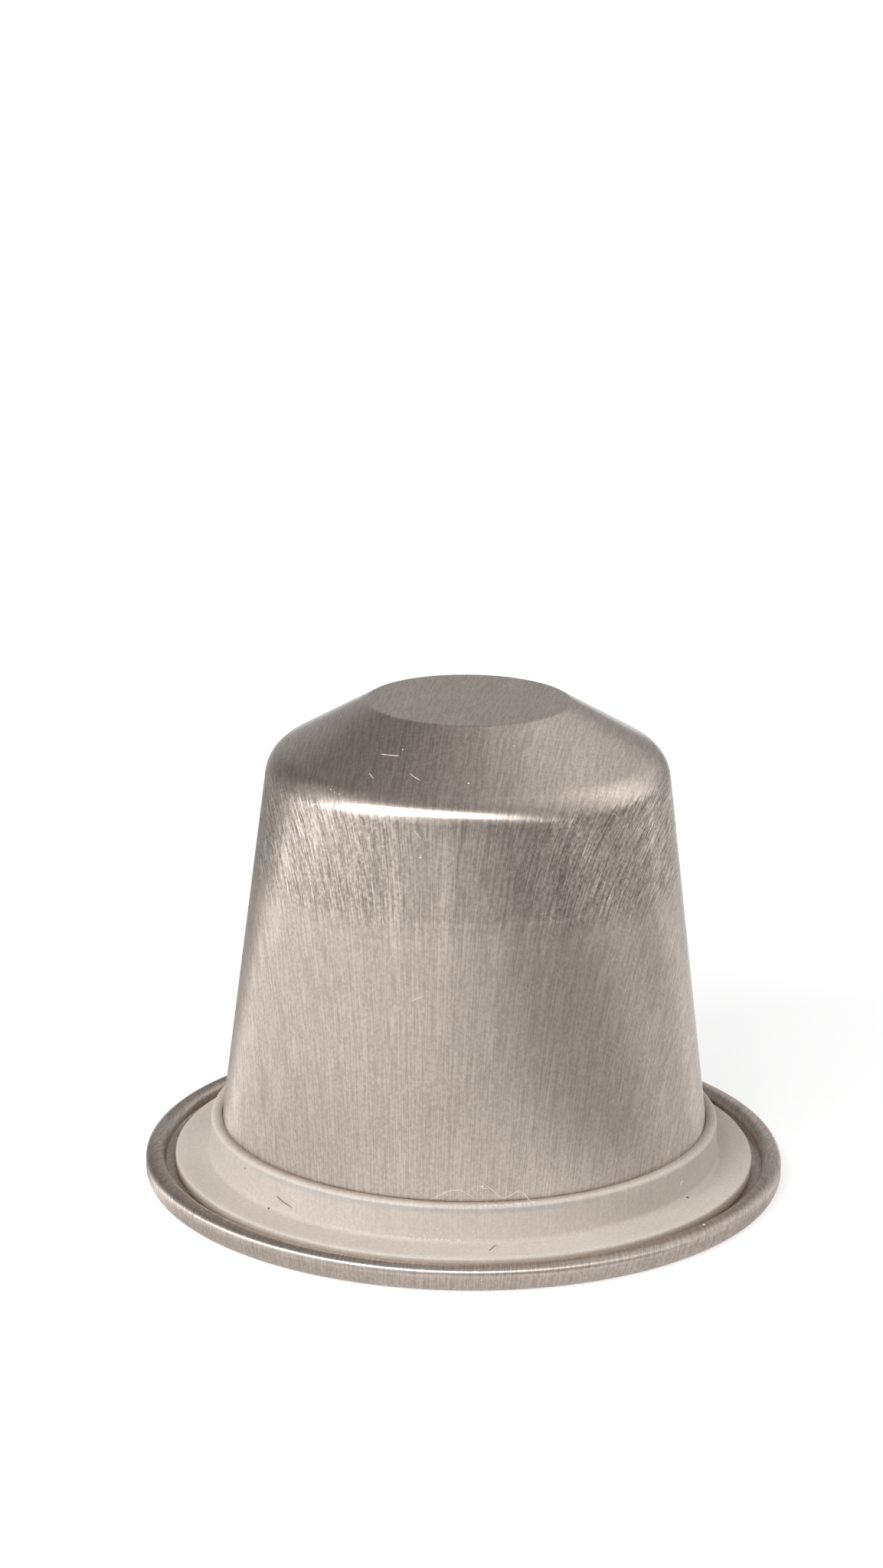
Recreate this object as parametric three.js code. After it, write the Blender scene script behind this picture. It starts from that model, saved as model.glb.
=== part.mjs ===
// Single-use cleaning capsule for an espresso machine: a deep-drawn cup of brushed aluminium with a
// truncated-cone top, a flange with a curled rim, a translucent sealing ring seated on the flange, and a
// foil lid that closes the underside. The capsule stands on its rim, lid down.
// Millimetres, +Z up. The origin is on the capsule's axis, in the plane that the rim stands on.
import * as THREE from "three";

// Cup, outside
const CAPSULE_HEIGHT = 28.3; // from the foot of the rim to the flat top
const TOP_RADIUS = 5.77; // flat disc on top, to its crease
const TOP_CREASE_ROUNDING = 0.5;
const SHOULDER_RADIUS = 11.4; // where the cone and the wall would meet without their rounding
const SHOULDER_DROP = 3.2; // from the flat top down to that corner
const SHOULDER_ROUNDING = 2.1;
const WALL_FOOT_ROUNDING = 0.35;

// Sheet and foil
const SHEET_THICKNESS = 0.11;
const FOIL_THICKNESS = 0.04;

// Flange and curled rim
const RIM_DIAMETER = 37.1;
const RIM_WIDTH = 1.12;
const RIM_HEIGHT = 1.44;
const RIM_CORNER_RADIUS = 0.5; // outside of the curl
const RIM_ROOT_ROUNDING = 0.1; // where the flange turns up into the curl
const FLANGE_WIDTH = 3; // from the foot of the wall to the rim
const FLANGE_LEVEL = 0.7; // top of the flange above the foot of the rim
const CURL_MOUTH = 0.17; // slit between the curl's free edge and the underside of the flange

// Sealing ring
const RING_OUTER_GAP = 0.6; // open groove between the ring and the rim
const RING_WALL_GAP = 0.04; // the ring's collar stands this far off the wall
const RING_PLATE_THICKNESS = 0.6;
const RING_LIP_HEIGHT = 2.8; // top of the collar above the flange
const RING_COLLAR_WIDTH = 0.63; // at the lip
const RING_LIP_ROUNDING = 0.2;
const RING_FOOT_ROUNDING = 0.3; // between the collar and the plate
const RING_EDGE_ROUNDING = 0.15;
const RING_HEEL_CHAMFER = 0.5; // clears the rounding at the foot of the wall

// Lid
const LID_EDGE_GAP = 0.23; // between the lid's edge and the curl

// Fineness
const SEGMENTS = 72; // round the axis
const CHORD_SAG = 0.015; // a rounding's chords cut inside the true arc by no more than this
const FEWEST_CHORDS = 2; // in one rounding

const QUARTER_TURN = Math.PI / 2;
const RIM_RADIUS = RIM_DIAMETER / 2;
const RIM_INNER_RADIUS = RIM_RADIUS - RIM_WIDTH;
const FLANGE_UNDERSIDE = FLANGE_LEVEL - SHEET_THICKNESS;
const WALL_FOOT_RADIUS = RIM_INNER_RADIUS - FLANGE_WIDTH; // before the rounding at the foot of the wall
const SHOULDER_LEVEL = CAPSULE_HEIGHT - SHOULDER_DROP;
const WALL_TAPER = (WALL_FOOT_RADIUS - SHOULDER_RADIUS) / (SHOULDER_LEVEL - FLANGE_LEVEL);

const point = (radius, level) => new THREE.Vector2(radius, level);

// The outside radius of the straight wall at a level.
function wallRadius(level) {
  return WALL_FOOT_RADIUS - WALL_TAPER * (level - FLANGE_LEVEL);
}

// Points along an arc about a centre, from one angle to another in radians, both ends included.
function arc(centre, radius, from, to) {
  const widestChord = 2 * Math.acos(Math.max(0, 1 - CHORD_SAG / radius));
  const chords = Math.max(FEWEST_CHORDS, Math.ceil(Math.abs(to - from) / widestChord));
  return Array.from({ length: chords + 1 }, (_, i) => {
    const angle = from + ((to - from) * i) / chords;
    return point(centre.x + radius * Math.cos(angle), centre.y + radius * Math.sin(angle));
  });
}

// The rounding of a corner between two straight lines, as points on an arc that touches both.
function rounded(before, corner, after, radius) {
  const toBefore = before.clone().sub(corner).normalize();
  const toAfter = after.clone().sub(corner).normalize();
  const halfAngle = Math.acos(THREE.MathUtils.clamp(toBefore.dot(toAfter), -1, 1)) / 2;
  const centre = toBefore
    .clone()
    .add(toAfter)
    .normalize()
    .multiplyScalar(radius / Math.sin(halfAngle))
    .add(corner);
  const reach = radius / Math.tan(halfAngle);
  const start = corner.clone().addScaledVector(toBefore, reach).sub(centre).angle();
  const end = corner.clone().addScaledVector(toAfter, reach).sub(centre).angle();
  const sweep = THREE.MathUtils.euclideanModulo(end - start + Math.PI, 2 * Math.PI) - Math.PI;
  return arc(centre, radius, start, start + sweep);
}

// A solid of revolution. The section runs from the bottom of the axis outwards and up, or closes on itself.
function turned(name, section, material) {
  const mesh = new THREE.Mesh(new THREE.LatheGeometry(section, SEGMENTS), material);
  mesh.rotation.x = Math.PI / 2; // LatheGeometry turns its section about Y
  mesh.name = name;
  return mesh;
}

// One side of the curl's sheet, from the flange's edge over the top, round the outside and under to the
// free edge. inset is 0 on the sheet's outer face and the sheet's thickness on its inner face.
function curlFace(inset) {
  const corner = RIM_CORNER_RADIUS - inset;
  const innerCentre = RIM_INNER_RADIUS + RIM_CORNER_RADIUS;
  const outerCentre = RIM_RADIUS - RIM_CORNER_RADIUS;
  const topCentre = RIM_HEIGHT - RIM_CORNER_RADIUS;
  const root = RIM_ROOT_ROUNDING + inset;
  const rootCentre = point(RIM_INNER_RADIUS - RIM_ROOT_ROUNDING, FLANGE_LEVEL + RIM_ROOT_ROUNDING);
  return [
    ...arc(rootCentre, root, -QUARTER_TURN, 0),
    ...arc(point(innerCentre, topCentre), corner, 2 * QUARTER_TURN, QUARTER_TURN),
    ...arc(point(outerCentre, topCentre), corner, QUARTER_TURN, 0),
    ...arc(point(outerCentre, RIM_CORNER_RADIUS), corner, 0, -QUARTER_TURN),
    ...arc(point(innerCentre, RIM_CORNER_RADIUS), corner, -QUARTER_TURN, curlEndAngle() - 2 * QUARTER_TURN),
  ];
}

// How far short of a full quarter turn the curl's last corner stops, so that its free edge leaves the mouth.
function curlEndAngle() {
  const drop = RIM_CORNER_RADIUS - (FLANGE_UNDERSIDE - CURL_MOUTH);
  return Math.asin(THREE.MathUtils.clamp(drop / RIM_CORNER_RADIUS, 0, 1));
}

// Cup, flange and curl with the charge sealed inside, as one solid. The lid closes its flat underside.
function makeCapsuleBody(material) {
  const topCentre = point(0, CAPSULE_HEIGHT);
  const crease = point(TOP_RADIUS, CAPSULE_HEIGHT);
  const shoulder = point(SHOULDER_RADIUS, SHOULDER_LEVEL);
  const wallFoot = point(WALL_FOOT_RADIUS, FLANGE_LEVEL);
  const flangeEdge = point(RIM_INNER_RADIUS, FLANGE_LEVEL);
  const outside = [
    topCentre,
    ...rounded(topCentre, crease, shoulder, TOP_CREASE_ROUNDING),
    ...rounded(crease, shoulder, wallFoot, SHOULDER_ROUNDING),
    ...rounded(shoulder, wallFoot, flangeEdge, WALL_FOOT_ROUNDING),
  ];
  const curl = [...curlFace(0), ...curlFace(SHEET_THICKNESS).reverse()];
  const section = [...outside, ...curl, point(0, FLANGE_UNDERSIDE)];
  return turned("capsule_body", section.reverse(), material);
}

// Sealing ring: a collar that hugs the wall and a flat plate that lies on the flange.
function makeSealingRing(material) {
  const lipLevel = FLANGE_LEVEL + RING_LIP_HEIGHT;
  const plateLevel = FLANGE_LEVEL + RING_PLATE_THICKNESS;
  const innerAt = (level) => wallRadius(level) + RING_WALL_GAP;
  const outerRadius = RIM_INNER_RADIUS - RING_OUTER_GAP;
  const collarRadius = innerAt(lipLevel) + RING_COLLAR_WIDTH;
  const heelLevel = FLANGE_LEVEL + RING_HEEL_CHAMFER;
  const lipInner = point(innerAt(lipLevel), lipLevel);
  const lipOuter = point(collarRadius, lipLevel);
  const collarFoot = point(collarRadius, plateLevel);
  const plateEdge = point(outerRadius, plateLevel);
  const plateUnderEdge = point(outerRadius, FLANGE_LEVEL);
  const section = [
    point(innerAt(heelLevel) + RING_HEEL_CHAMFER, FLANGE_LEVEL),
    plateUnderEdge,
    ...rounded(plateUnderEdge, plateEdge, collarFoot, RING_EDGE_ROUNDING),
    ...rounded(plateEdge, collarFoot, lipOuter, RING_FOOT_ROUNDING),
    ...rounded(collarFoot, lipOuter, lipInner, RING_LIP_ROUNDING),
    lipInner,
    point(innerAt(heelLevel), heelLevel),
  ];
  return turned("sealing_ring", [...section, section[0].clone()], material);
}

// Foil lid, sealed to the flat underside of the cup inside the curl.
function makeFoilLid(material) {
  const radius = RIM_INNER_RADIUS - LID_EDGE_GAP;
  const underside = FLANGE_UNDERSIDE - FOIL_THICKNESS;
  const section = [
    point(0, underside),
    point(radius, underside),
    point(radius, FLANGE_UNDERSIDE),
    point(0, FLANGE_UNDERSIDE),
  ];
  return turned("foil_lid", section, material);
}

const brushedAluminium = new THREE.MeshStandardMaterial({ color: 0xb4aca4, roughness: 0.38, metalness: 1 });
const frostedSilicone = new THREE.MeshStandardMaterial({ color: 0xd2cac0, roughness: 0.5, metalness: 0 });
const rolledFoil = new THREE.MeshStandardMaterial({ color: 0xc4bfba, roughness: 0.3, metalness: 1 });

const capsule = new THREE.Group();
capsule.name = "espresso_cleaning_capsule";
capsule.add(makeCapsuleBody(brushedAluminium), makeSealingRing(frostedSilicone), makeFoilLid(rolledFoil));

export default capsule;
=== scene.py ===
# Looks of the espresso machine cleaning capsule: a brushed, deep-drawn aluminium cup with a curled rim, a
# frosted silicone sealing ring and a foil lid, with the lint and the scratches that the photograph shows.
import math
import random

import bmesh
import bpy
import numpy as np
from mathutils import Euler, Matrix, Vector
from mathutils.bvhtree import BVHTree


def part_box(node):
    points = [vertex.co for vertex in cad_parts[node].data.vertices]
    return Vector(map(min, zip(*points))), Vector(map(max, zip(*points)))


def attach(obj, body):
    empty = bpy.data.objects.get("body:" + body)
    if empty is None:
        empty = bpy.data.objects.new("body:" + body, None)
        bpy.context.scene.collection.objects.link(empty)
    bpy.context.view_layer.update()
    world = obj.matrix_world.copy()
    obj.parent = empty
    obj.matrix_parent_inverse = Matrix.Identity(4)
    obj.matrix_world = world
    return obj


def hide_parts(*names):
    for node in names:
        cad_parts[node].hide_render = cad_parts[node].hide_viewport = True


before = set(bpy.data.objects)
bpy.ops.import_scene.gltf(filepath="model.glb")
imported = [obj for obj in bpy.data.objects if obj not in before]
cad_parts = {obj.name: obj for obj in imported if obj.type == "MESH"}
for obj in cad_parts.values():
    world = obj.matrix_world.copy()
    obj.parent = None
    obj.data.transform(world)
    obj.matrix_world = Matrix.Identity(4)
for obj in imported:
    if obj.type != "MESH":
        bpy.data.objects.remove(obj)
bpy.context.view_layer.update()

MM = 0.001  # the sizes below are in millimetres
ON_AXIS = 1e-6  # a point this near the axis is on it

# Sizes taken from the frame
body_low, body_high = (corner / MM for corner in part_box("capsule_body"))
ring_low, ring_high = (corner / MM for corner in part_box("sealing_ring"))
lid_low, lid_high = (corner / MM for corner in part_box("foil_lid"))
CAPSULE_HEIGHT = body_high.z
RIM_RADIUS = body_high.x
FLANGE_LEVEL = ring_low.z
RING_TOP = ring_high.z
RING_RADIUS = ring_high.x
FLANGE_UNDERSIDE = lid_high.z
LID_UNDERSIDE = lid_low.z
LID_RADIUS = lid_high.x

# Cup
TOP_RADIUS = 5.77
TOP_CREASE_ROUNDING = 0.5
SHOULDER_RADIUS = 11.4
SHOULDER_DROP = 3.2
SHOULDER_ROUNDING = 2.1
WALL_FOOT_ROUNDING = 0.35
FLANGE_WIDTH = 3.0
SHEET_THICKNESS = FLANGE_LEVEL - FLANGE_UNDERSIDE

# Curled rim
RIM_WIDTH = 1.12
RIM_HEIGHT = 1.44
RIM_CORNER_RADIUS = 0.5
RIM_ROOT_ROUNDING = 0.1
CURL_MOUTH = 0.17

# Sealing ring
RING_WALL_GAP = 0.04
RING_PLATE_THICKNESS = 0.6
RING_COLLAR_WIDTH = 0.63
RING_LIP_ROUNDING = 0.2
RING_FOOT_ROUNDING = 0.3
RING_EDGE_ROUNDING = 0.15
RING_HEEL_CHAMFER = 0.5

RIM_INNER_RADIUS = RIM_RADIUS - RIM_WIDTH
WALL_FOOT_RADIUS = RIM_INNER_RADIUS - FLANGE_WIDTH
SHOULDER_LEVEL = CAPSULE_HEIGHT - SHOULDER_DROP
WALL_TAPER = (WALL_FOOT_RADIUS - SHOULDER_RADIUS) / (SHOULDER_LEVEL - FLANGE_LEVEL)

# Marks that the drawing left on the wall, with levels, heights and widths in millimetres
DRAW_RIB_COUNT = 27
DRAW_RIB_PHASE = math.radians(-5.5)  # one rib's place round from the front
DRAW_RIB_HEIGHT = 0.006
DRAW_RIB_FOOT = 15.0  # the ribs fade out down to this level
DRAW_RIB_FADE = 6.0
DRAW_LINE_LEVELS = (18.75, 17.5)
# painted highlight along the two draw lines, as shares of the metal's colour
DRAW_LINE_PAINTED_HIGHLIGHT = (0.13, 0.07)
DRAW_LINE_MIDDLE = math.radians(-3)  # the painted highlight on the lines is strongest here, and fades out to the sides
DRAW_LINE_HEIGHT = 0.006
DRAW_LINE_WIDTH = 0.16
DRAW_MARK_FADE = 2.0  # at the ring and at the shoulder

# Fineness: steps round the axis, degrees along a rounding, and the longest edges along a section
AROUND = DRAW_RIB_COUNT * 16
ARC_STEP = math.radians(9)
DISC_SPACING = 1.2
CONE_SPACING = 0.6
WALL_SPACING = 0.5
FLANGE_SPACING = 1.0
HIDDEN_SPACING = 4.0
RING_SPACING = 0.3
RING_HIDDEN_SPACING = 0.5
LID_SPACING = 1.0

# The "sheet" map is this many times as wide as the flat blank's radius. The sheet was rolled before it was
# drawn, and its lines ran this far off the capsule's depth.
SHEET_MARGIN = 2.2
ROLLING_TURN = math.radians(-7)

# Lines of the rolled sheet: width and length in millimetres, detail, and an offset that sets them apart
HAIR_LINES = (0.12, 1.5, 2.0, 0.0)
STREAK_LINES = (0.25, 5.0, 2.0, 3.1)
BAND_LINES = (1.2, 40.0, 1.0, 7.7)
FURROW_LINES = (0.20, 0.9, 1.0, 5.3)
LINE_ROUGHNESS = 0.6
GRIT_SCALE = 5200.0
CLOUD_SCALE = 240.0

# Brushed aluminium: colours, levels in millimetres, and how much each mark brightens or darkens. The fans'
# glints, the ribs' highlight and the shade under the rim and at the foot are painted light.
METAL_SHADES = ((0.50, 0.432, 0.382, 1.0), (0.75, 0.653, 0.583, 1.0))
METAL_WEAR_RANGE = (0.37, 0.63)
HAZE_EDGE = (17.6, 19.2)  # the wall is hazy below; above it, the fans at the sides get painted glints
HAZE_WOBBLE = 0.5
UPPER_END = (24.2, 24.8)
# painted shade towards the wall's foot: full below the first level, gone above the second
FOOT_LEVELS = (3.5, 11.0)
# painted shade on the rim's lower outer side: full below the first level, gone above the second
UNDER_RIM_LEVELS = (0.80, 0.98)
SMOOTHER_LEVELS = (17.0, 20.5)
FAN_SIDES = (0.15, 0.50)  # sine of the angle from the front at which the fans set in
FAN_FRONT_SHARE = 0.25
# painted glints: how far the grain's contrast is raised in the fans
FAN_PAINTED_GLINT_CONTRAST = 2.6
FAN_FURROWS = 4.0
FAN_BUMP = 0.3
# painted highlight on the ribs' crests
RIB_PAINTED_HIGHLIGHT = 0.16
HAZE_BRIGHTENING = 0.08
UPPER_DARKENING = 0.07
UNDER_RIM_PAINTED_SHADE = 0.14
FOOT_PAINTED_SHADE = 0.16
METAL_ROUGHNESS = 0.30
METAL_ANISOTROPY = 0.9
METAL_BUMP = 0.4
BUMP_DEPTH = 0.02  # millimetres, for metal and silicone

# Frosted silicone
SILICONE_SHADES = ((0.65, 0.585, 0.527, 1.0), (0.69, 0.622, 0.564, 1.0))
# painted shade: the darker line just under the lip
LIP_PAINTED_SHADE_COLOR = (0.50, 0.49, 0.475, 1.0)
LIP_PAINTED_SHADE_STRENGTH = 0.6
LIP_PAINTED_SHADE_LEVELS = (2.98, 3.15, 3.30, 3.38)  # where it sets in, is full, starts to fade and ends
LIP_PAINTED_SHADE_MIDDLE = math.radians(-14)  # the painted shade under the lip is strongest here
SHOW_THROUGH_LEVELS = (1.4, 1.9)
SILICONE_IOR = 1.41

# Foil and lint
FOIL_SHADES = ((0.66, 0.64, 0.62, 1.0), (0.78, 0.76, 0.74, 1.0))
PALE_LINT_SHADES = ((0.78, 0.72, 0.66, 1.0), (0.95, 0.90, 0.85, 1.0))
DARK_LINT_SHADES = ((0.10, 0.085, 0.075, 1.0), (0.22, 0.19, 0.17, 1.0))

# The camera, fitted to the photograph. The photograph is 1153 by 2048 pixels.
PHOTO_SIZE = (1153, 2048)
CAMERA_PLACE = (0.0, -205.42, 81.72)
CAMERA_PITCH = 0.27711
CAMERA_YAW = -0.0073
CAMERA_ROLL = 0.00969
FOCAL_PIXELS = 4892.8
SENSOR = 36.0

# Lint and scratches, by their pixels in the photograph, with radii and sizes in millimetres. A hair is a
# route and a radius, a scratch is a route, and a crumb is a place and a size.
LINT_SEED = 5
ARCHED_HAIR = (
    (559.9, 1568),
    (572.7, 1562),
    (583.9, 1556.8),
    (597.1, 1554.3),
    (611.4, 1559.4),
    (618.6, 1564.5),
)
WAVY_HAIR = (
    (624.2, 1541),
    (642, 1553.3),
    (657.3, 1564.5),
    (675.7, 1555.8),
    (682.9, 1557.9),
    (699.2, 1576.7),
)
SHORT_HAIR = ((624.5, 1548), (630, 1551.5), (638, 1552.5))
PALE_HAIRS = (
    (ARCHED_HAIR, 0.020),
    (WAVY_HAIR, 0.020),
    (SHORT_HAIR, 0.014),
)
DARK_HAIRS = (
    (((647.6, 1626.2), (642, 1630.8), (639, 1633.9)), 0.018),
    (((361.6, 1562), (369, 1569), (382.3, 1577.3)), 0.024),
)
SCRATCH_WIDTH = 0.030
SCRATCHES = (
    ((534, 1309), (546, 1304), (553, 1301)),
    ((497, 985), (509, 986.5), (522, 987)),
    ((535, 1010), (542, 1015.5), (549, 1019.5)),
    ((482, 1010), (487.5, 1017)),
    ((541, 1084), (546, 1091), (550.6, 1096)),
    ((799.5, 1062.5), (803, 1063.5), (805, 1066.5)),
)
PALE_CRUMBS = (
    ((889.5, 1545.8), 0.20),
    ((943, 1554.5), 0.13),
    ((918.2, 1562.4), 0.10),
    ((919.4, 1599.7), 0.12),
    ((813, 1555), 0.08),
    ((612, 1023), 0.12),
    ((618, 1578.6), 0.08),
    ((630.3, 1550), 0.14),
    ((628.8, 1672), 0.11),
    ((719, 1598), 0.09),
    ((722, 1603), 0.08),
    ((794, 1574), 0.08),
    ((526, 979), 0.08),
    ((671, 974), 0.07),
    ((499, 1105), 0.08),
    ((549, 1120), 0.09),
    ((524, 1160), 0.06),
    ((432, 1031), 0.07),
    ((437, 1035), 0.06),
    ((443, 1037), 0.06),
    ((410, 1029), 0.05),
    ((427, 1245), 0.06),
)
DARK_CRUMBS_AND_PAINTED_SHADOW = (
    ((350.8, 1578.5), 0.14),
    ((319.8, 1526), 0.11),
    ((689, 1288), 0.09),
    ((689.5, 1638.5), 0.07),
    ((945, 1572.4), 0.08),
    ((897.8, 1564), 0.16),
    # painted shadow: a dark crumb where the pale crumb at (612, 1023) casts its shadow
    ((613.5, 1026), 0.07),
)

# Rows of crumbs: the row's ends, how many crumbs lie in it, and their middle size
CRUMB_ROWS = (
    ((600, 1576), (632, 1577.5), 12, 0.07),
    ((632, 1575), (700, 1571), 46, 0.10),
    ((538, 1617), (602, 1620.5), 20, 0.09),
    ((480, 1611), (538, 1617), 8, 0.06),
    ((700, 1620), (770, 1614), 10, 0.06),
)
CRUMB_ROW_SCATTER = 1.2  # pixels up or down
CRUMB_ROW_SIZES = (0.6, 1.3)  # shares of the middle size

# How uneven crumbs and fibres are. A crumb's length, width, height and lumps are shares of its size.
CRUMB_LENGTHS = (1.0, 1.5)
CRUMB_WIDTHS = (0.6, 1.0)
CRUMB_HEIGHT = 0.45
CRUMB_LUMPS = 0.16
CRUMB_TURN = 6.28  # radians, all the way round
THREAD_SIDES = 8
THREAD_TIP = 0.35  # thickness at the ends, as a share of the middle's
THREAD_TAPER = 6.0  # each end thins out over one part in this many of the length
THREAD_UP = (0.3, 0.2, 1.0)  # no fibre runs along this direction

# The floor, with places and distances in metres and brightness as a share of white
FLOOR_SIZE = 8.0
FLOOR_DROP = 0.02  # millimetres below the rim
FLOOR_LEVEL = 0.89
FLOOR_PICTURED = 0.48  # where the picture shows the floor
FLOOR_WHITENING = 0.68  # added there, and more of it further from the lamp
FLOOR_FAR_WHITENING = 0.14
FLOOR_FAR = (0.0, 0.5)
# painted shade out of the picture on the right: the share of the floor's level there
FLOOR_RIGHT = 0.40
FLOOR_RIGHT_FADE = (0.020, 0.110)
# painted shade far in front: the share of the floor's level there
FLOOR_FRONT = 0.05
FLOOR_FRONT_FADE = (-0.60, -0.25)
PICTURE_NEAR = (-0.065, -0.050)
PICTURE_SIDES = (0.0275, 0.0335)
VIEW_SPREAD = 0.13  # how fast the picture widens with depth

# Painted shade: greyer patches just out of the picture, in front on the right and behind on the left: the
# middle, core and reach, and the share of the floor's level
FLOOR_PAINTED_SHADE_CARDS = (
    (0.030, -0.075, 0.035, 0.090, 0.50),
    (-0.060, 0.075, 0.042, 0.078, 0.36),
)

# The room's light. A patch has its azimuth from the front towards the right, its elevation, core and reach
# in degrees, and its brightness.
ROOM_LEVEL = 0.22
SOFT_PATCHES = (
    (-62, 13, 12, 40, 1.00),
    (-92, 28, 6, 30, 0.40),
    (-35, 8, 8, 34, 0.35),
    (-35, 30, 5, 30, 0.16),
    (25, 6, 8, 40, 0.12),
    (95, 8, 10, 45, 0.58),
    (90, 50, 10, 45, 0.37),
    (126, 32, 10, 41, 0.60),
    (180, 10, 10, 40, 0.17),
    (60, 80, 5, 32, 0.08),
)


def arc(centre, radius, start, end, step=ARC_STEP):
    """Points along an arc about a centre, from one angle to another in radians, both ends included."""
    count = max(2, math.ceil(abs(end - start) / step))
    angles = [start + (end - start) * i / count for i in range(count + 1)]
    return [(centre[0] + radius * math.cos(a), centre[1] + radius * math.sin(a)) for a in angles]


def rounded(before, corner, after, radius, step=ARC_STEP):
    """The rounding of a corner between two straight lines, as points on an arc that touches both."""
    corner = Vector(corner)
    to_before = (Vector(before) - corner).normalized()
    to_after = (Vector(after) - corner).normalized()
    half = to_before.angle(to_after) / 2
    centre = corner + (to_before + to_after).normalized() * radius / math.sin(half)
    reach = radius / math.tan(half)
    first = corner + to_before * reach - centre
    last = corner + to_after * reach - centre
    start = math.atan2(first.y, first.x)
    end = math.atan2(last.y, last.x)
    sweep = (end - start + math.pi) % (2 * math.pi) - math.pi
    return arc(centre, radius, start, start + sweep, step)


def line(start, end, spacing):
    """Points between two ends, without them, no further apart than the spacing."""
    count = max(1, math.ceil(math.dist(start, end) / spacing))
    return [tuple(np.array(start) + (np.array(end) - start) * i / count) for i in range(1, count)]


def wall_radius(level):
    """The outside radius of the straight wall at a level."""
    return WALL_FOOT_RADIUS - WALL_TAPER * (level - FLANGE_LEVEL)


def curl_face(inset):
    """One side of the curl's sheet, from the flange's edge over the top and round to the free edge."""
    quarter = math.pi / 2
    corner = RIM_CORNER_RADIUS - inset
    inner = RIM_INNER_RADIUS + RIM_CORNER_RADIUS
    outer = RIM_RADIUS - RIM_CORNER_RADIUS
    top = RIM_HEIGHT - RIM_CORNER_RADIUS
    drop = RIM_CORNER_RADIUS - (FLANGE_UNDERSIDE - CURL_MOUTH)
    short_of_level = math.asin(drop / RIM_CORNER_RADIUS)
    root = (RIM_INNER_RADIUS - RIM_ROOT_ROUNDING, FLANGE_LEVEL + RIM_ROOT_ROUNDING)
    return [
        *arc(root, RIM_ROOT_ROUNDING + inset, -quarter, 0, 3 * ARC_STEP),
        *arc((inner, top), corner, 2 * quarter, quarter),
        *arc((outer, top), corner, quarter, 0),
        *arc((outer, RIM_CORNER_RADIUS), corner, 0, -quarter),
        *arc((inner, RIM_CORNER_RADIUS), corner, -quarter, short_of_level - 2 * quarter),
    ]


def cup_section():
    """The cup's outside from the top of the axis to the flange, then the curl and back to the axis."""
    top = (0.0, CAPSULE_HEIGHT)
    crease = (TOP_RADIUS, CAPSULE_HEIGHT)
    shoulder = (SHOULDER_RADIUS, SHOULDER_LEVEL)
    wall_foot = (WALL_FOOT_RADIUS, FLANGE_LEVEL)
    flange_edge = (RIM_INNER_RADIUS, FLANGE_LEVEL)
    crease_arc = rounded(top, crease, shoulder, TOP_CREASE_ROUNDING, ARC_STEP / 2)
    shoulder_arc = rounded(crease, shoulder, wall_foot, SHOULDER_ROUNDING, ARC_STEP / 3)
    foot_arc = rounded(shoulder, wall_foot, flange_edge, WALL_FOOT_ROUNDING)
    under = (0.0, FLANGE_UNDERSIDE)
    curl = [*curl_face(0.0), *curl_face(SHEET_THICKNESS)[::-1]]
    return [
        top,
        *line(top, crease_arc[0], DISC_SPACING),
        *crease_arc,
        *line(crease_arc[-1], shoulder_arc[0], CONE_SPACING),
        *shoulder_arc,
        *line(shoulder_arc[-1], foot_arc[0], WALL_SPACING),
        *foot_arc,
        *line(foot_arc[-1], flange_edge, FLANGE_SPACING),
        *curl,
        *line(curl[-1], under, HIDDEN_SPACING),
        under,
    ]


def ring_section():
    """The sealing ring's closed outline: a collar along the wall and a plate on the flange."""
    plate_level = FLANGE_LEVEL + RING_PLATE_THICKNESS
    heel_level = FLANGE_LEVEL + RING_HEEL_CHAMFER
    collar_radius = wall_radius(RING_TOP) + RING_WALL_GAP + RING_COLLAR_WIDTH
    lip_inner = (wall_radius(RING_TOP) + RING_WALL_GAP, RING_TOP)
    lip_outer = (collar_radius, RING_TOP)
    collar_foot = (collar_radius, plate_level)
    plate_edge = (RING_RADIUS, plate_level)
    plate_under = (RING_RADIUS, FLANGE_LEVEL)
    heel = (wall_radius(heel_level) + RING_WALL_GAP, heel_level)
    heel_under = (heel[0] + RING_HEEL_CHAMFER, FLANGE_LEVEL)
    edge_arc = rounded(plate_under, plate_edge, collar_foot, RING_EDGE_ROUNDING)
    foot_arc = rounded(plate_edge, collar_foot, lip_outer, RING_FOOT_ROUNDING)
    lip_arc = rounded(collar_foot, lip_outer, lip_inner, RING_LIP_ROUNDING)
    return [
        heel_under,
        *line(heel_under, plate_under, RING_HIDDEN_SPACING),
        plate_under,
        *edge_arc,
        *line(edge_arc[-1], foot_arc[0], RING_SPACING),
        *foot_arc,
        *line(foot_arc[-1], lip_arc[0], RING_SPACING),
        *lip_arc,
        lip_inner,
        *line(lip_inner, heel, RING_HIDDEN_SPACING),
        heel,
    ]


def lid_section():
    """The foil disc, from the middle of its underside round its edge to the middle of its upper side."""
    under, above = (0.0, LID_UNDERSIDE), (0.0, FLANGE_UNDERSIDE)
    edge_under, edge_above = (LID_RADIUS, LID_UNDERSIDE), (LID_RADIUS, FLANGE_UNDERSIDE)
    return [
        under,
        *line(under, edge_under, LID_SPACING),
        edge_under,
        edge_above,
        *line(edge_above, above, HIDDEN_SPACING),
        above,
    ]


def smooth(value, low, high):
    """0 below low, 1 above high and an even curve between them."""
    t = np.clip((value - low) / (high - low), 0, 1)
    return t * t * (3 - 2 * t)


def blank_radii(section):
    """How far from the middle of the flat blank each point of the section was, before it was drawn."""
    radii = [0.0]
    for (r0, z0), (r1, z1) in zip(section, section[1:]):
        ring_area = (r0 + r1) * math.hypot(r1 - r0, z1 - z0)
        radii.append(math.sqrt(radii[-1] ** 2 + ring_area))
    return radii


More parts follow.
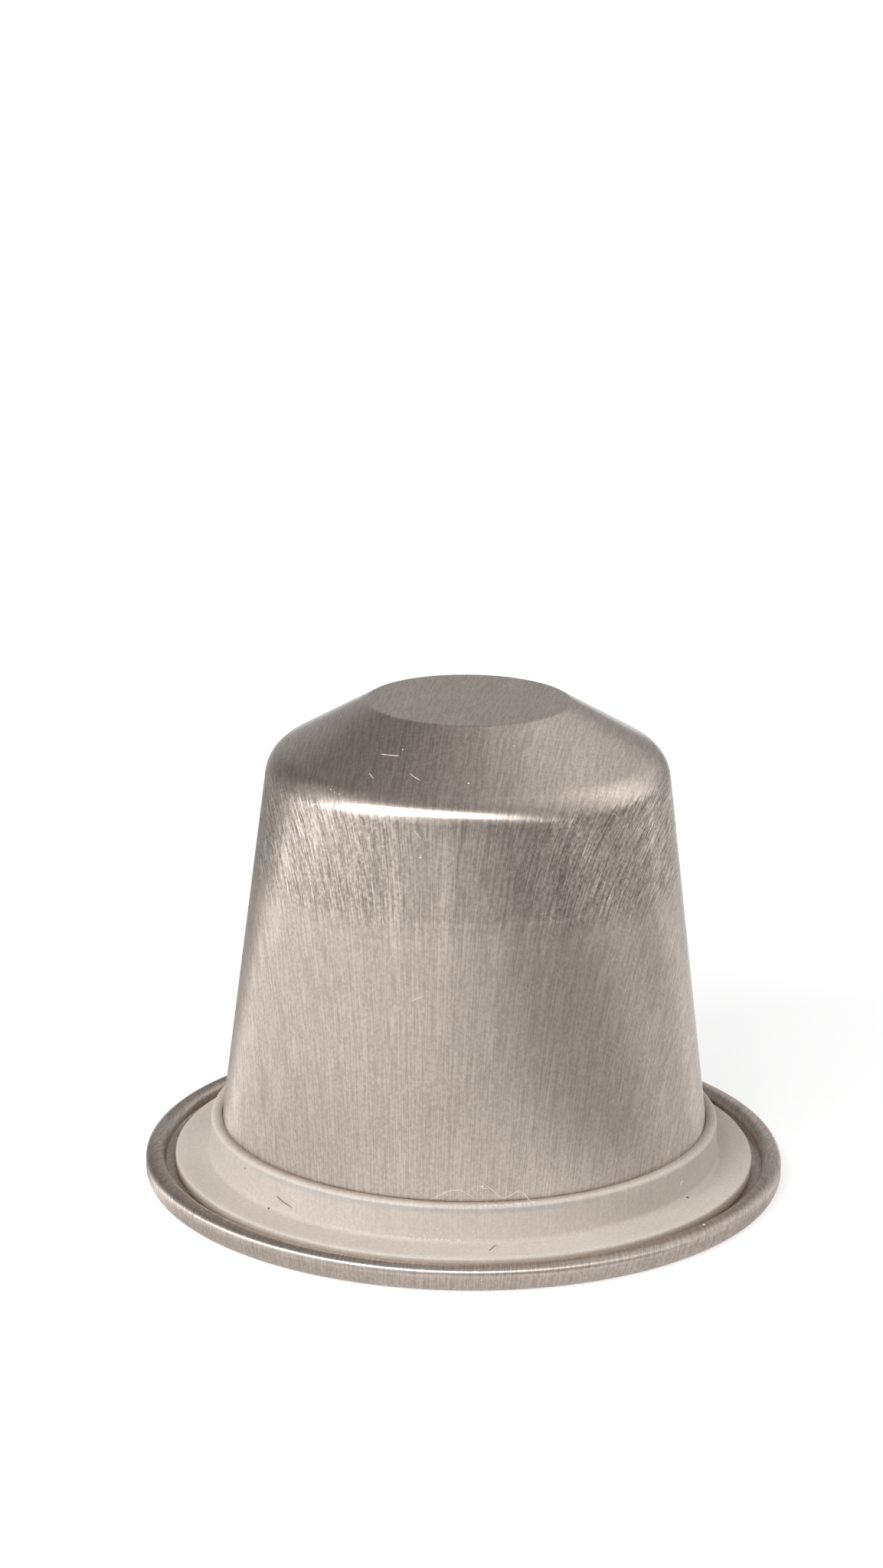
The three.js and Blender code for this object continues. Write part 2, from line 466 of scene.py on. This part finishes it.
def wall_relief(level, angle):
    """How far the drawing marks stand out of the wall at a level and an angle from the front."""
    above_ring = smooth(level, RING_TOP, RING_TOP + DRAW_MARK_FADE)
    below_shoulder = 1 - smooth(level, SHOULDER_LEVEL - DRAW_MARK_FADE, SHOULDER_LEVEL)
    ribs = np.cos(DRAW_RIB_COUNT * (angle - DRAW_RIB_PHASE))
    height = DRAW_RIB_HEIGHT * ribs * smooth(level, DRAW_RIB_FOOT, DRAW_RIB_FOOT + DRAW_RIB_FADE)
    for line_level in DRAW_LINE_LEVELS:
        height = height + DRAW_LINE_HEIGHT * np.exp(-(((level - line_level) / DRAW_LINE_WIDTH) ** 2))
    return height * above_ring * below_shoulder


def turned(name, section, closed=False, relief=None, drawn=False):
    """A solid of revolution about the capsule's axis. A closed section meets its own start. An open one
    starts and ends on the axis. It gets two UV maps: "turn" holds the angle and the length along the
    section, and "sheet" the place in the flat blank, with the rolling lines along its first direction."""
    lengths = [0.0]
    for a, b in zip(section, section[1:]):
        lengths.append(lengths[-1] + math.dist(a, b))
    blank = blank_radii(section) if drawn else [r for r, z in section]
    reach = SHEET_MARGIN * max(blank)
    mesh = bmesh.new()
    turn_map = mesh.loops.layers.uv.new("turn")
    sheet_map = mesh.loops.layers.uv.new("sheet")
    rings = []
    for r, z in section:
        if r < ON_AXIS:
            rings.append([mesh.verts.new((0, 0, z * MM))])
            continue
        ring = []
        for i in range(AROUND):
            angle = 2 * math.pi * i / AROUND  # from the front, towards the right
            radius = r + (float(relief(z, angle)) if relief else 0.0)
            x, y = radius * math.sin(angle), -radius * math.cos(angle)
            ring.append(mesh.verts.new((x * MM, y * MM, z * MM)))
        rings.append(ring)

    def uv(index, step):
        angle = 2 * math.pi * step / AROUND
        across = blank[index] * math.sin(angle - ROLLING_TURN)
        along = blank[index] * math.cos(angle - ROLLING_TURN)
        return (step / AROUND, lengths[index] / lengths[-1]), (0.5 + along / reach, 0.5 + across / reach)

    count = len(section)
    for index in range(count if closed else count - 1):
        following = (index + 1) % count
        for step in range(AROUND):
            corners = []
            sides = ((index, step), (following, step), (following, step + 1), (index, step + 1))
            for ring_index, s in sides:
                ring = rings[ring_index]
                vert = ring[0] if len(ring) == 1 else ring[s % AROUND]
                if corners and vert in [c[0] for c in corners]:
                    continue
                corners.append((vert, uv(ring_index, s)))
            if len(corners) < 3:
                continue
            face = mesh.faces.new([c[0] for c in corners])
            face.smooth = True
            for loop, (_, (turn_uv, sheet_uv)) in zip(face.loops, corners):
                loop[turn_map].uv = turn_uv
                loop[sheet_map].uv = sheet_uv
    bmesh.ops.recalc_face_normals(mesh, faces=mesh.faces)
    data = bpy.data.meshes.new(name)
    mesh.to_mesh(data)
    mesh.free()
    piece = bpy.data.objects.new(name, data)
    bpy.context.scene.collection.objects.link(piece)
    return piece


class Nodes:
    """Short ways to add and join the nodes of one material or world."""

    def __init__(self, tree):
        self.tree = tree
        tree.nodes.clear()

    def add(self, kind, inputs=None, **settings):
        node = self.tree.nodes.new(kind)
        for key, value in settings.items():
            setattr(node, key, value)
        for key, value in (inputs or {}).items():
            self.join(value, node.inputs[key])
        return node

    def join(self, value, socket):
        if isinstance(value, bpy.types.NodeSocket):
            self.tree.links.new(value, socket)
        else:
            socket.default_value = value

    def math(self, operation, *values):
        node = self.add("ShaderNodeMath", operation=operation)
        for value, socket in zip(values, node.inputs):
            self.join(value, socket)
        return node.outputs[0]

    def total(self, parts, start=0.0):
        """The start plus each value times its weight."""
        for value, weight in parts:
            start = self.math("MULTIPLY_ADD", value, weight, start)
        return start

    def step(self, value, low, high, to_low=0.0, to_high=1.0):
        """An even curve from one value below low to another above high."""
        node = self.add("ShaderNodeMapRange", interpolation_type="SMOOTHSTEP")
        keys = ("Value", "From Min", "From Max", "To Min", "To Max")
        for key, setting in zip(keys, (value, low, high, to_low, to_high)):
            self.join(setting, node.inputs[key])
        return node.outputs[0]

    def noise(self, vector, scale, detail=2.0, roughness=0.5):
        inputs = {"Vector": vector, "Scale": scale, "Detail": detail, "Roughness": roughness}
        return self.add("ShaderNodeTexNoise", inputs).outputs["Fac"]

    def stretched(self, vector, scales, offset=(0.0, 0.0, 0.0)):
        node = self.add("ShaderNodeMapping", {"Vector": vector, "Scale": scales, "Location": offset})
        return node.outputs[0]

    def scaled(self, vector, factor):
        node = self.add("ShaderNodeVectorMath", {0: vector, "Scale": factor}, operation="SCALE")
        return node.outputs["Vector"]

    def mix(self, factor, first, second):
        node = self.add("ShaderNodeMix", data_type="RGBA")
        self.join(factor, node.inputs["Factor"])
        self.join(first, node.inputs[6])  # inputs 6 and 7 and output 2 are the colours
        self.join(second, node.inputs[7])
        return node.outputs[2]


class Spot:
    """Where a shaded point lies: its place in metres, its height and its distance from the axis in
    millimetres, its places in the two maps, and its share of a turn from the front towards the right."""

    def __init__(self, nodes):
        self.nodes = nodes
        self.place = nodes.add("ShaderNodeTexCoord").outputs["Object"]
        self.turn = nodes.add("ShaderNodeUVMap", uv_map="turn").outputs[0]
        self.sheet = nodes.add("ShaderNodeUVMap", uv_map="sheet").outputs[0]
        self.around = nodes.add("ShaderNodeSeparateXYZ", {"Vector": self.turn}).outputs["X"]
        height = nodes.add("ShaderNodeSeparateXYZ", {"Vector": self.place}).outputs["Z"]
        self.level = nodes.math("DIVIDE", height, MM)
        plan = nodes.stretched(self.place, (1.0, 1.0, 0.0))
        length = nodes.add("ShaderNodeVectorMath", {0: plan}, operation="LENGTH").outputs["Value"]
        self.out = nodes.math("DIVIDE", length, MM)

    def facing(self, middle):
        """1 at this angle from the front, falling to -1 on the far side."""
        n = self.nodes
        return n.math("COSINE", n.math("MULTIPLY_ADD", self.around, 2 * math.pi, -middle))


def new_material(name):
    """An empty material and its nodes."""
    material = bpy.data.materials.new(name)
    material.use_nodes = True
    return material, Nodes(material.node_tree)


def finish_material(nodes, shader):
    """Sends the shader to the material's surface."""
    nodes.add("ShaderNodeOutputMaterial", {"Surface": shader.outputs[0]})


def sheet_span(section):
    """Millimetres across the whole of the "sheet" map."""
    return SHEET_MARGIN * max(blank_radii(section))


def painted_rib_highlight(n, spot):
    """Painted highlight along the crests of the ribs below the shoulder, faint on some of them."""
    start = -DRAW_RIB_COUNT * DRAW_RIB_PHASE
    angle = n.math("MULTIPLY_ADD", spot.around, 2 * math.pi * DRAW_RIB_COUNT, start)
    unevenness = n.noise(n.stretched(spot.turn, (19.0, 3.0, 1.0)), 1.0, 1.0)
    ribs = n.math("MULTIPLY", n.step(n.math("COSINE", angle), 0.35, 1.0), n.step(unevenness, 0.35, 0.6))
    ribs = n.math("MULTIPLY", ribs, n.step(spot.level, DRAW_RIB_FOOT - 1, DRAW_RIB_FOOT + 5))
    below_shoulder = n.step(spot.level, SHOULDER_LEVEL - 2.2, SHOULDER_LEVEL - 0.8, 1.0, 0.0)
    return n.math("MULTIPLY", ribs, below_shoulder)


def ring_painted_highlight(n, spot, wobble, streak):
    """Painted highlight along the draw lines at the front, broken up by the streaks."""
    rings = 0.0
    wavy_level = n.math("MULTIPLY_ADD", wobble, 0.3, spot.level)
    for ring_level, brightness in zip(DRAW_LINE_LEVELS, DRAW_LINE_PAINTED_HIGHLIGHT):
        off = n.math("ABSOLUTE", n.math("SUBTRACT", wavy_level, ring_level))
        rings = n.math("ADD", rings, n.step(off, 0.04, 0.26, brightness, 0.0))
    rings = n.math("MULTIPLY", rings, n.step(streak, 0.38, 0.56))
    return n.math("MULTIPLY", rings, n.step(spot.facing(DRAW_LINE_MIDDLE), 0.55, 0.9))


def brushed_aluminium(span):
    """Rolled sheet, drawn into the cup: its rolling lines follow the flat blank's lines round the form. Its
    colour also holds painted light: glints in the fans, highlights on the ribs and the draw lines, and
    shade under the rim and towards the foot.
    """
    material, n = new_material("brushed_aluminium")
    spot = Spot(n)

    def rolled(across, along, detail, offset):
        scales = (span / along, span / across, 1.0)
        return n.noise(n.stretched(spot.sheet, scales, (offset, offset, 0.0)), 1.0, detail, LINE_ROUGHNESS)

    hair = rolled(*HAIR_LINES)
    streak = rolled(*STREAK_LINES)
    band = rolled(*BAND_LINES)
    furrow = rolled(*FURROW_LINES)
    grit = n.noise(spot.place, GRIT_SCALE, 1.0)
    cloud = n.noise(spot.place, CLOUD_SCALE, 3.0, 0.6)
    worn = n.total(((hair, 0.45), (streak, 0.22), (band, 0.08), (grit, 0.25)))

    # Where each mark lies: a band below the shoulder, with fans at its sides that get painted glints, and a
    # hazier wall
    wobble = n.math("MULTIPLY", n.math("SUBTRACT", cloud, 0.5), HAZE_WOBBLE)
    wavy_level = n.math("ADD", spot.level, wobble)
    above_ring = n.step(spot.level, RING_TOP - 3, RING_TOP - 2)
    haze = n.math("MULTIPLY", n.step(wavy_level, *HAZE_EDGE, 1.0, 0.0), above_ring)
    upper = n.math("MULTIPLY", n.step(wavy_level, *HAZE_EDGE), n.step(spot.level, *UPPER_END, 1.0, 0.0))
    sideways = n.math("ABSOLUTE", n.math("SINE", n.math("MULTIPLY", spot.around, 2 * math.pi)))
    fan = n.math("MULTIPLY", upper, n.step(sideways, *FAN_SIDES, FAN_FRONT_SHARE, 1.0))
    # painted shade on the lower part of the rim's outer side
    on_rim_side = n.step(spot.out, RIM_RADIUS - 0.5, RIM_RADIUS - 0.3)
    under_rim_painted_shade = n.math("MULTIPLY", n.step(spot.level, *UNDER_RIM_LEVELS, 1.0, 0.0), on_rim_side)
    # painted shade, darker towards the foot of the wall
    foot = n.step(spot.level, *FOOT_LEVELS, 1.0, 0.0)

    marks = (
        # painted glints: the grain's contrast raised in the fans, where the lamp's glints fall
        (n.math("MULTIPLY", n.math("SUBTRACT", worn, 0.5), fan), FAN_PAINTED_GLINT_CONTRAST),
        # painted highlight along the ribs' crests
        (painted_rib_highlight(n, spot), RIB_PAINTED_HIGHLIGHT),
        (haze, HAZE_BRIGHTENING),
        (upper, -UPPER_DARKENING),
        (under_rim_painted_shade, -UNDER_RIM_PAINTED_SHADE),
        (foot, -FOOT_PAINTED_SHADE),
    )
    # the draw lines' painted highlight starts the shade
    shade = n.total(marks, n.math("ADD", ring_painted_highlight(n, spot, wobble, streak), 1.0))
    color = n.scaled(n.mix(n.step(worn, *METAL_WEAR_RANGE), *METAL_SHADES), shade)

    smoother = n.step(wavy_level, *SMOOTHER_LEVELS)
    on_rim = n.step(spot.out, RIM_INNER_RADIUS - 0.1, RIM_INNER_RADIUS + 0.1)
    roughness_parts = ((streak, 0.10), (cloud, 0.04), (smoother, -0.03), (on_rim, 0.08))
    bump_height = n.total(((hair, 0.6), (streak, 0.4), (n.math("MULTIPLY", fan, furrow), FAN_FURROWS)))
    bump_strength = n.math("MULTIPLY_ADD", fan, FAN_BUMP, METAL_BUMP)
    bump_inputs = {"Height": bump_height, "Strength": bump_strength, "Distance": BUMP_DEPTH * MM}
    shader = n.add(
        "ShaderNodeBsdfPrincipled",
        {
            "Base Color": color,
            "Metallic": 1.0,
            "Roughness": n.total(roughness_parts, METAL_ROUGHNESS),
            "Anisotropic": METAL_ANISOTROPY,
            "Anisotropic Rotation": 0.25,  # the rough direction runs across the lines
            "Tangent": n.add("ShaderNodeTangent", direction_type="UV_MAP", uv_map="sheet").outputs[0],
            "Normal": n.add("ShaderNodeBump", bump_inputs).outputs[0],
        },
    )
    finish_material(n, shader)
    return material


def frosted_silicone():
    """Milky silicone. The metal's lines show faintly through the collar. A painted shade lies under the
    lip, and a painted highlight along the plate's outer edge.
    """
    material, n = new_material("frosted_silicone")
    spot = Spot(n)
    cloud = n.noise(spot.place, 180.0, 3.0, 0.55)
    grain = n.noise(spot.place, 5600.0, 3.0, 0.6)
    dust = n.noise(spot.place, 5200.0, 1.0, 0.4)
    show_through = n.noise(n.stretched(spot.turn, (900.0, 2.0, 1.0)), 1.0, 2.0)

    # painted shade under the lip, strongest towards the front left
    start, full, fade, end = LIP_PAINTED_SHADE_LEVELS
    under_lip_painted_shade = n.math("MULTIPLY", n.step(spot.level, start, full), n.step(spot.level, fade, end, 1.0, 0.0))
    under_lip_painted_shade = n.math("MULTIPLY", under_lip_painted_shade, n.step(spot.facing(LIP_PAINTED_SHADE_MIDDLE), 0.62, 0.90))
    color = n.mix(n.step(cloud, 0.35, 0.65), *SILICONE_SHADES)
    color = n.mix(n.math("MULTIPLY", under_lip_painted_shade, LIP_PAINTED_SHADE_STRENGTH), color, LIP_PAINTED_SHADE_COLOR)

    # painted highlight along the plate's outer edge
    outer_edge_painted_highlight = n.step(spot.out, RING_RADIUS - 0.42, RING_RADIUS - 0.30)
    on_collar = n.step(spot.level, *SHOW_THROUGH_LEVELS)
    lines = n.math("MULTIPLY", n.math("SUBTRACT", show_through, 0.5), on_collar)
    specks = n.step(dust, 0.66, 0.74)
    marks = ((outer_edge_painted_highlight, 0.03), (specks, 0.08), (lines, 0.24), (n.math("SUBTRACT", grain, 0.5), 0.40))
    bump_inputs = {"Height": grain, "Strength": 0.5, "Distance": BUMP_DEPTH * MM}
    shader = n.add(
        "ShaderNodeBsdfPrincipled",
        {
            "Base Color": n.scaled(color, n.total(marks, 0.98)),
            "Roughness": n.math("MULTIPLY_ADD", cloud, 0.12, 0.38),
            "IOR": SILICONE_IOR,
            "Subsurface Weight": 0.4,
            "Subsurface Radius": (1.0, 0.9, 0.8),
            "Subsurface Scale": 0.6 * MM,
            "Normal": n.add("ShaderNodeBump", bump_inputs).outputs[0],
        },
    )
    finish_material(n, shader)
    return material


def rolled_foil():
    """Bright foil with the long lines that rolling leaves."""
    material, n = new_material("rolled_foil")
    lines = n.noise(n.stretched(Spot(n).sheet, (6.0, 300.0, 1.0)), 1.0, 3.0)
    bump = n.add("ShaderNodeBump", {"Height": lines, "Strength": 0.2, "Distance": 0.01 * MM})
    inputs = {
        "Base Color": n.mix(lines, *FOIL_SHADES),
        "Metallic": 1.0,
        "Roughness": n.math("MULTIPLY_ADD", lines, 0.15, 0.2),
        "Normal": bump.outputs[0],
    }
    finish_material(n, n.add("ShaderNodeBsdfPrincipled", inputs))
    return material


def lint(name, shades):
    """Matt fibre or dust, uneven along its length."""
    material, n = new_material(name)
    place = n.add("ShaderNodeTexCoord").outputs["Object"]
    inputs = {
        "Base Color": n.mix(n.noise(place, 6000.0, 2.0), *shades),
        "Roughness": 0.6,
        "Subsurface Weight": 0.2,
        "Subsurface Scale": 0.05 * MM,
    }
    finish_material(n, n.add("ShaderNodeBsdfPrincipled", inputs))
    return material


def camera_axes():
    """The camera's right, up and forward directions."""
    forward = Vector(
        (
            math.sin(CAMERA_YAW) * math.cos(CAMERA_PITCH),
            math.cos(CAMERA_YAW) * math.cos(CAMERA_PITCH),
            -math.sin(CAMERA_PITCH),
        )
    )
    level_right = Vector((math.cos(CAMERA_YAW), -math.sin(CAMERA_YAW), 0))
    level_up = level_right.cross(forward)
    right = math.cos(CAMERA_ROLL) * level_right + math.sin(CAMERA_ROLL) * level_up
    up = -math.sin(CAMERA_ROLL) * level_right + math.cos(CAMERA_ROLL) * level_up
    return right, up, forward


def make_camera():
    """The camera at the place and angle from which the photograph was taken."""
    right, up, forward = camera_axes()
    data = bpy.data.cameras.new("camera")
    data.sensor_width = SENSOR
    data.lens = FOCAL_PIXELS / PHOTO_SIZE[1] * SENSOR
    data.clip_start = 1 * MM
    data.clip_end = 100.0
    camera = bpy.data.objects.new("camera", data)
    bpy.context.scene.collection.objects.link(camera)
    turn = Matrix((right, up, -forward)).transposed().to_4x4()
    camera.matrix_world = Matrix.Translation(Vector(CAMERA_PLACE) * MM) @ turn
    bpy.context.scene.camera = camera


def landing(trees, pixel):
    """Where the sight line through a pixel of the photograph meets the capsule, and the normal there."""
    right, up, forward = camera_axes()
    start = Vector(CAMERA_PLACE) * MM
    x, y = pixel[0] - PHOTO_SIZE[0] / 2, PHOTO_SIZE[1] / 2 - pixel[1]
    sight = (forward * FOCAL_PIXELS + right * x + up * y).normalized()
    hits = [tree.ray_cast(start, sight) for tree in trees]
    place, normal, index, distance = min((hit for hit in hits if hit[0]), key=lambda hit: hit[3])
    return place, normal


def smooth_route(points, parts=6):
    """A curve through all the points, cut into even parts between them."""
    ends = [2 * points[0] - points[1], *points, 2 * points[-1] - points[-2]]
    route = []
    for p0, p1, p2, p3 in zip(ends, ends[1:], ends[2:], ends[3:]):
        for i in range(parts):
            t = i / parts
            bend = 2 * p1 + (p2 - p0) * t + (2 * p0 - 5 * p1 + 4 * p2 - p3) * t**2
            route.append((bend + (3 * p1 - p0 - 3 * p2 + p3) * t**3) / 2)
    return [*route, points[-1]]


def add_thread(mesh, trees, pixels, radius):
    """A round fibre that lies on the capsule along pixels of the photograph and thins out at its ends."""
    lifted = [place + normal * radius * MM for place, normal in (landing(trees, pixel) for pixel in pixels)]
    route = smooth_route(lifted)
    rings = []
    for i, centre in enumerate(route):
        ahead = route[min(i + 1, len(route) - 1)] - route[max(i - 1, 0)]
        side = ahead.cross(Vector(THREAD_UP)).normalized()
        rise = side.cross(ahead).normalized()
        share = min(i, len(route) - 1 - i) / (len(route) - 1)
        thick = radius * MM * (THREAD_TIP + (1 - THREAD_TIP) * min(1.0, share * THREAD_TAPER))
        ring = []
        for k in range(THREAD_SIDES):
            angle = 2 * math.pi * k / THREAD_SIDES
            ring.append(mesh.verts.new(centre + (side * math.cos(angle) + rise * math.sin(angle)) * thick))
        rings.append(ring)
    for ring, following in zip(rings, rings[1:]):
        for k in range(THREAD_SIDES):
            after = (k + 1) % THREAD_SIDES
            mesh.faces.new((ring[k], ring[after], following[after], following[k]))
    mesh.faces.new(rings[0][::-1])
    mesh.faces.new(rings[-1])


def add_flake(mesh, trees, pixel, size, rng):
    """A crumb with an uneven outline, half sunk into the surface that it lies on."""
    place, normal = landing(trees, pixel)
    made = bmesh.ops.create_icosphere(mesh, subdivisions=2, radius=size / 2 * MM)
    turn = normal.to_track_quat("Z", "Y") @ Euler((0, 0, rng.uniform(0, CRUMB_TURN))).to_quaternion()
    long = rng.uniform(*CRUMB_LENGTHS)
    wide = rng.uniform(*CRUMB_WIDTHS)
    for vert in made["verts"]:
        lump = 1 + rng.uniform(-CRUMB_LUMPS, CRUMB_LUMPS)
        shaped = Vector((vert.co.x * long, vert.co.y * wide, vert.co.z * CRUMB_HEIGHT)) * lump
        vert.co = place + turn @ shaped


def finish_lint(mesh, name, material):
    """Turns the mesh into a piece that rides on the capsule."""
    bmesh.ops.recalc_face_normals(mesh, faces=mesh.faces)
    data = bpy.data.meshes.new(name)
    mesh.to_mesh(data)
    mesh.free()
    data.polygons.foreach_set("use_smooth", [True] * len(data.polygons))
    data.materials.append(material)
    piece = bpy.data.objects.new(name, data)
    bpy.context.scene.collection.objects.link(piece)
    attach(piece, "root")


def make_lint(cup, seal):
    """The hairs, crumbs and scratches that the photograph shows, each on the surface that carries it; one
    dark crumb is a painted shadow.
    """
    trees = []
    for piece in (cup, seal):
        places = [vert.co for vert in piece.data.vertices]
        trees.append(BVHTree.FromPolygons(places, [face.vertices for face in piece.data.polygons]))
    rng = random.Random(LINT_SEED)
    pale = lint("pale_lint", PALE_LINT_SHADES)
    dark = lint("dark_lint_and_painted_shadow", DARK_LINT_SHADES)
    for kind, hairs, material in (("pale", PALE_HAIRS, pale), ("dark", DARK_HAIRS, dark)):
        for number, (pixels, radius) in enumerate(hairs, 1):
            mesh = bmesh.new()
            add_thread(mesh, trees, pixels, radius)
            finish_lint(mesh, f"{kind}_hair_{number}", material)
    mesh = bmesh.new()
    for pixels in SCRATCHES:
        add_thread(mesh, trees, pixels, SCRATCH_WIDTH / 2)
    finish_lint(mesh, "raised_scratches", pale)
    mesh = bmesh.new()
    for pixel, size in PALE_CRUMBS:
        add_flake(mesh, trees, pixel, size, rng)
    for start, end, count, size in CRUMB_ROWS:
        for _ in range(count):
            share = rng.random()
            x = start[0] + (end[0] - start[0]) * share
            y = start[1] + (end[1] - start[1]) * share
            y += rng.uniform(-CRUMB_ROW_SCATTER, CRUMB_ROW_SCATTER)
            add_flake(mesh, trees, (x, y), size * rng.uniform(*CRUMB_ROW_SIZES), rng)
    finish_lint(mesh, "pale_crumbs", pale)
    mesh = bmesh.new()
    # the dark crumbs include one painted shadow
    for pixel, size in DARK_CRUMBS_AND_PAINTED_SHADOW:
        add_flake(mesh, trees, pixel, size, rng)
    finish_lint(mesh, "dark_crumbs_and_painted_shadow", dark)


def make_floor():
    """A white floor. Out of the picture it is painted darker, in front, on the right and in two greyer
    patches: painted shade, as a dim room would give.
    """
    material, n = new_material("floor")
    place = n.add("ShaderNodeTexCoord").outputs["Object"]
    split = n.add("ShaderNodeSeparateXYZ", {"Vector": place})
    x, y = split.outputs["X"], split.outputs["Y"]
    widening = n.math("MULTIPLY", n.math("MAXIMUM", y, 0.0), VIEW_SPREAD)
    # painted shade out of the picture: darker on the right, in the greyer patches and far in front
    not_right = n.step(n.math("SUBTRACT", x, widening), *FLOOR_RIGHT_FADE, 1.0, FLOOR_RIGHT)
    open_level = n.math("MULTIPLY", not_right, FLOOR_LEVEL)
    for card_x, card_y, core, reach, share in FLOOR_PAINTED_SHADE_CARDS:
        middle = (card_x, card_y, 0.0)
        away = n.add("ShaderNodeVectorMath", {0: place, 1: middle}, operation="DISTANCE").outputs["Value"]
        open_level = n.math("MULTIPLY", open_level, n.step(away, core, reach, share, 1.0))
    open_level = n.math("MULTIPLY", open_level, n.step(y, *FLOOR_FRONT_FADE, FLOOR_FRONT, 1.0))
    aside = n.math("SUBTRACT", n.math("ABSOLUTE", x), widening)
    pictured = n.math("MULTIPLY", n.step(y, *PICTURE_NEAR), n.step(aside, *PICTURE_SIDES, 1.0, 0.0))
    level = n.add("ShaderNodeMix", {"Factor": pictured, "A": open_level, "B": FLOOR_PICTURED}).outputs[0]
    color = n.add("ShaderNodeCombineColor", {"Red": level, "Green": level, "Blue": level}).outputs[0]
    surface = n.add("ShaderNodeBsdfDiffuse", {"Color": color})

    # The camera, metal and glass see the pictured floor as white, and it lights nothing else
    light_path = n.add("ShaderNodeLightPath")
    seen = n.math("MAXIMUM", light_path.outputs["Is Camera Ray"], light_path.outputs["Is Glossy Ray"])
    seen = n.math("MAXIMUM", seen, light_path.outputs["Is Transmission Ray"])
    amount = n.step(y, *FLOOR_FAR, FLOOR_WHITENING, FLOOR_WHITENING + FLOOR_FAR_WHITENING)
    strength = n.math("MULTIPLY", n.math("MULTIPLY", seen, pictured), amount)
    whitening = n.add("ShaderNodeEmission", {"Color": (1.0, 1.0, 1.0, 1.0), "Strength": strength})
    both = n.add("ShaderNodeAddShader", {0: surface.outputs[0], 1: whitening.outputs[0]})
    finish_material(n, both)
    bpy.ops.mesh.primitive_plane_add(size=FLOOR_SIZE, location=(0, 0, -FLOOR_DROP * MM))
    floor = bpy.context.object
    floor.name = "floor"
    floor.data.materials.append(material)


def direction(azimuth, elevation):
    """The direction at these angles in degrees. Azimuth 0 is the camera's side and 90 is the right."""
    a, e = math.radians(azimuth), math.radians(elevation)
    return Vector((math.sin(a) * math.cos(e), -math.cos(a) * math.cos(e), math.sin(e)))


def area_light(name, azimuth, elevation, distance, width, height, power):
    """A softbox that faces the capsule, with distance and size in metres."""
    data = bpy.data.lights.new(name, "AREA")
    data.shape = "RECTANGLE"
    data.size = width
    data.size_y = height
    data.energy = power
    light = bpy.data.objects.new(name, data)
    bpy.context.scene.collection.objects.link(light)
    towards = direction(azimuth, elevation)
    light.location = towards * distance + Vector((0, 0, CAPSULE_HEIGHT / 2 * MM))
    light.rotation_mode = "QUATERNION"
    light.rotation_quaternion = towards.to_track_quat("Z", "Y")


def make_world():
    """Soft light by direction: a dim room with a few broad, brighter patches."""
    world = bpy.data.worlds.new("studio")
    bpy.context.scene.world = world
    world.use_nodes = True
    n = Nodes(world.node_tree)
    view = n.add("ShaderNodeTexCoord").outputs["Generated"]
    level = ROOM_LEVEL
    for azimuth, elevation, core, reach, brightness in SOFT_PATCHES:
        inputs = {0: view, 1: direction(azimuth, elevation)}
        nearness = n.add("ShaderNodeVectorMath", inputs, operation="DOT_PRODUCT").outputs["Value"]
        edge, middle = math.cos(math.radians(reach)), math.cos(math.radians(core))
        level = n.math("ADD", level, n.step(nearness, edge, middle, 0.0, brightness))
    color = n.add("ShaderNodeCombineColor", {"Red": level, "Green": level, "Blue": level}).outputs[0]
    background = n.add("ShaderNodeBackground", {"Color": color, "Strength": 1.0})
    n.add("ShaderNodeOutputWorld", {"Surface": background.outputs[0]})


def dress(piece, node, material):
    """Gives a piece its material, and lets it take the place of the frame's node."""
    piece.data.materials.append(material)
    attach(piece, "root")
    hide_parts(node)


make_camera()
make_floor()
make_world()
area_light("key", azimuth=-32, elevation=38.5, distance=0.60, width=0.42, height=0.05, power=2.4)

cup = turned("brushed_cup", cup_section(), relief=wall_relief, drawn=True)
dress(cup, "capsule_body", brushed_aluminium(sheet_span(cup_section())))
seal = turned("silicone_ring", ring_section(), closed=True)
dress(seal, "sealing_ring", frosted_silicone())
lid = turned("lid_disc", lid_section())
dress(lid, "foil_lid", rolled_foil())
make_lint(cup, seal)

bpy.context.scene.view_settings.view_transform = "Standard"
